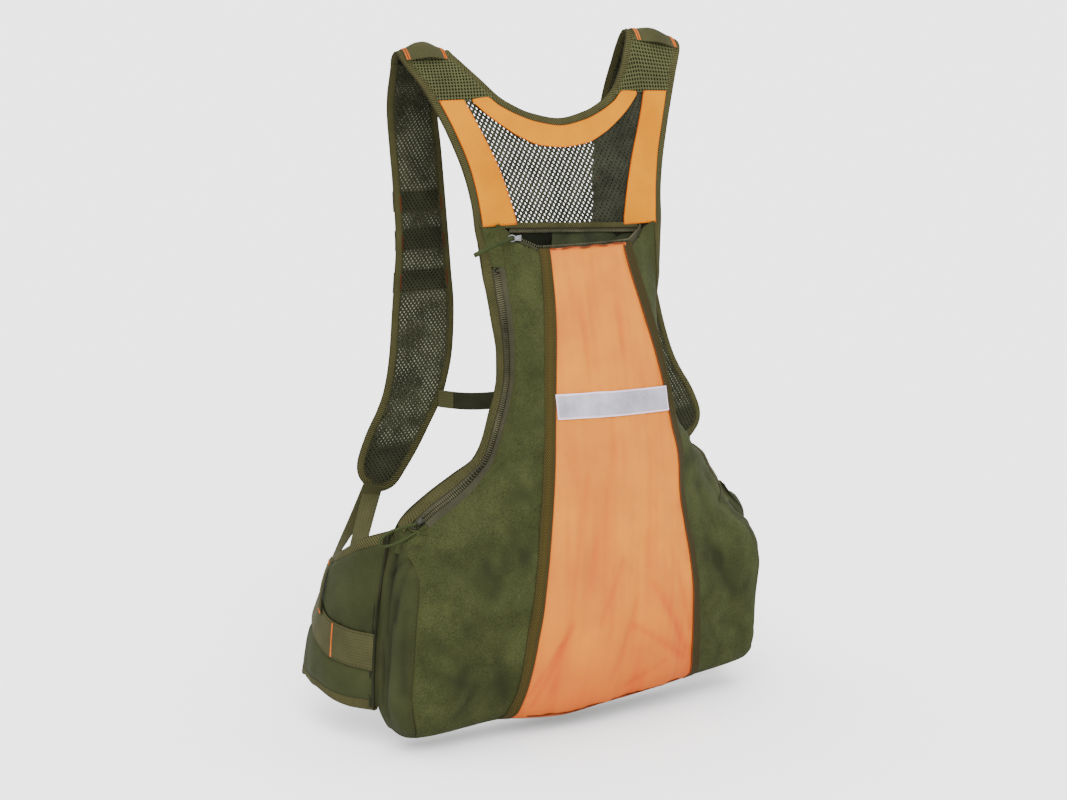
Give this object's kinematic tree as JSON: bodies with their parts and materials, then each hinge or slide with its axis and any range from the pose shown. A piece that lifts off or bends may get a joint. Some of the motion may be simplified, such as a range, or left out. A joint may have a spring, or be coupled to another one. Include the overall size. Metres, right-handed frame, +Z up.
{
  "type": "rucksack",
  "caption": "Worn suede rucksack with a flared bag, mesh yoke, soft shoulder straps, padded hip wings and a closed hip belt, kept in its worn shape.",
  "frame": {"origin": "midway between the tops of the two shoulder straps, on the line where they sit on the wearer's shoulders", "axes": "+Z up, +Y from the bag's outer face towards the wearer, +X across to the wearer's right"},
  "size_m": [0.5178, 0.3257, 0.7026],
  "materials": {
    "suede": "napped olive suede, mottled",
    "twill": "matt olive twill",
    "orange": "matt peach-orange plain weave",
    "orange_band": "matt orange plain weave",
    "binding": "ribbed olive grosgrain",
    "trim": "herringbone tape",
    "reflective": "silver-grey reflective tape",
    "mesh": "dark open mesh",
    "spacer": "olive spacer mesh",
    "webbing": "ribbed olive webbing",
    "zip_tape": "taupe woven tape",
    "teeth": "moulded coil",
    "slider": "satin",
    "cord": "braided green cord",
    "lining": "smooth green lining",
    "buckle": "moulded"
  },
  "bodies": {
    "root": {"front_orange_panel": "orange", "reflective_tape": "reflective", "trim_tape_left": "trim", "trim_tape_right": "trim", "front_suede_left": "suede", "front_suede_right": "suede", "gusset_left": "twill", "gusset_right": "twill", "bag_bottom": "twill", "back_panel": "twill", "side_binding_left": "binding", "side_binding_right": "binding", "neck_binding": "binding", "yoke_mesh": "mesh", "yoke_base_strip": "binding", "orange_band_left": "orange_band", "orange_band_right": "orange_band", "orange_band_neck": "orange_band", "shoulder_pad_left": "spacer", "shoulder_pad_right": "spacer", "strap_binding_left": "binding", "strap_binding_right": "binding", "strap_mesh_left": "mesh", "strap_mesh_right": "mesh", "cross_band_left_1": "webbing", "cross_band_left_2": "webbing", "cross_band_left_3": "webbing", "cross_band_right_1": "webbing", "cross_band_right_2": "webbing", "cross_band_right_3": "webbing", "shoulder_loop_left": "webbing", "shoulder_loop_right": "webbing", "hip_wing_left": "twill", "hip_wing_right": "twill", "wing_binding_left": "binding", "wing_binding_right": "binding", "wing_webbing_left": "webbing", "wing_webbing_right": "webbing", "adjuster_outer_left": "webbing", "adjuster_outer_right": "webbing", "adjuster_inner_left": "webbing", "adjuster_inner_right": "webbing", "side_strap_left": "webbing", "side_strap_right": "webbing", "hip_belt_left": "webbing", "hip_belt_right": "webbing", "belt_buckle": "buckle", "side_zip_tape_rear": "zip_tape", "side_zip_teeth": "teeth", "side_zip_tape_front": "zip_tape", "side_zip_tab": "suede", "side_zip_slider": "slider", "side_zip_cord_pull": "cord", "top_zip_tape_rear": "zip_tape", "top_zip_teeth_rear": "teeth", "top_zip_tape_front": "zip_tape", "top_zip_teeth_front": "teeth", "mouth_inner_fold": "lining", "top_zip_slider": "slider", "top_zip_cord_pull": "cord"}
  },
  "joints": []
}
